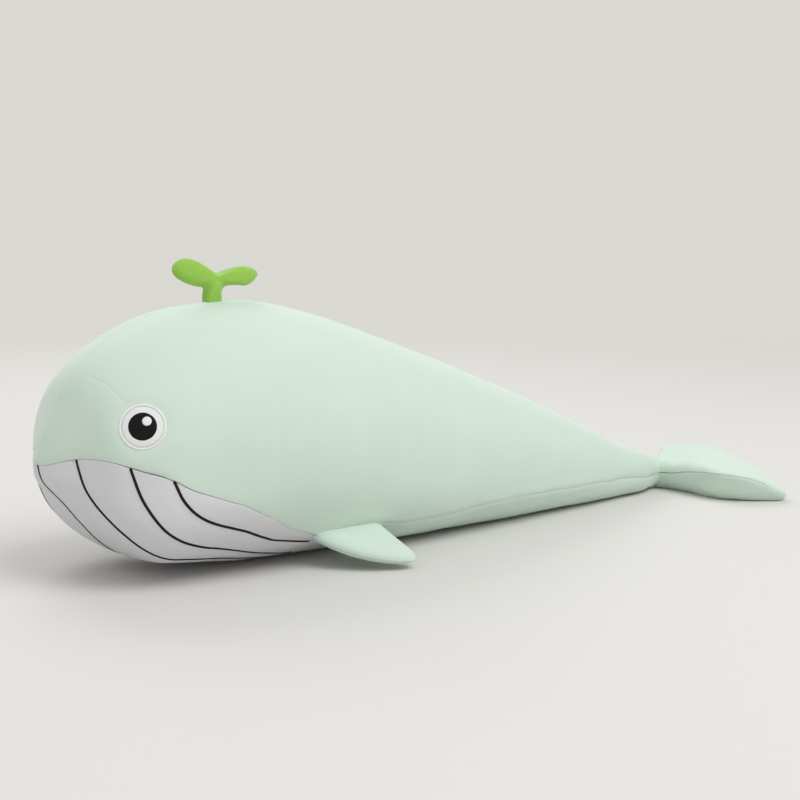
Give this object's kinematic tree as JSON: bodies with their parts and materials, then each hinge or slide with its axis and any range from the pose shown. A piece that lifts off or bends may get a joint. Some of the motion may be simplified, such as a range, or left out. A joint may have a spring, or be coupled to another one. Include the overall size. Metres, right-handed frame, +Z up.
{
  "type": "plush whale",
  "caption": "Long stuffed whale with a high round head, a tapering tail with a flat fluke, side fins, embroidered eyes and throat lines, and a leafy sprout on its back.",
  "frame": {"origin": "on what the whale rests on, under the middle of its bounding box", "axes": "+X from the nose towards the tail, +Y towards the whale's right side, +Z up along the back; the belly rests on -Z"},
  "size_m": [0.8762, 0.2812, 0.2603],
  "materials": {
    "mint_fabric": "short smooth pile",
    "throat_fabric": "short smooth pile",
    "black_thread": "satin stitch",
    "white_thread": "satin stitch",
    "green_fabric": "short fleece",
    "filling": "loose polyester fibre"
  },
  "bodies": {
    "body": {"body_filling": "filling", "side_panel_right": "mint_fabric", "side_panel_left": "mint_fabric", "throat_panel": "throat_fabric", "belly_panel": "mint_fabric", "throat_line_middle": "black_thread", "throat_line_right_1": "black_thread", "throat_line_left_1": "black_thread", "throat_line_right_2": "black_thread", "throat_line_left_2": "black_thread", "throat_line_right_3": "black_thread", "throat_line_left_3": "black_thread", "eye_ring_right": "white_thread", "eye_ring_left": "white_thread", "eye_disc_right": "throat_fabric", "eye_disc_left": "throat_fabric", "eye_pupil_right": "black_thread", "eye_pupil_left": "black_thread", "eye_glint_right": "white_thread", "eye_glint_left": "white_thread"},
    "right_fin": {"fin_top_panel_right": "mint_fabric", "fin_bottom_panel_right": "mint_fabric", "fin_filling_right": "filling"},
    "left_fin": {"fin_top_panel_left": "mint_fabric", "fin_bottom_panel_left": "mint_fabric", "fin_filling_left": "filling"},
    "fluke": {"fluke_top_panel": "mint_fabric", "fluke_bottom_panel": "mint_fabric", "fluke_filling": "filling"},
    "sprout": {"sprout_panel_left": "green_fabric", "sprout_panel_right": "green_fabric", "sprout_filling": "filling"}
  },
  "joints": [
    {"name": "right_fin_flap", "type": "hinge", "parent": "body", "child": "right_fin", "pos_m": [-0.19373, 0.08557, 0.02635], "axis": [1, 0, 0], "range_deg": [-25, 35], "stiffness_Nm_per_rad": 0.05},
    {"name": "left_fin_flap", "type": "hinge", "parent": "body", "child": "left_fin", "pos_m": [-0.19373, -0.08557, 0.02635], "axis": [-1, 0, 0], "range_deg": [-25, 35], "stiffness_Nm_per_rad": 0.05},
    {"name": "fluke_flap", "type": "hinge", "parent": "body", "child": "fluke", "pos_m": [0.30667, 0, 0.018], "axis": [-0.5299, -0.848, 0], "range_deg": [-25, 35], "stiffness_Nm_per_rad": 0.25},
    {"name": "sprout_sway", "type": "hinge", "parent": "body", "child": "sprout", "pos_m": [-0.27472, 0, 0.22761], "axis": [1, 0, 0], "range_deg": [-45, 45], "stiffness_Nm_per_rad": 0.02}
  ]
}
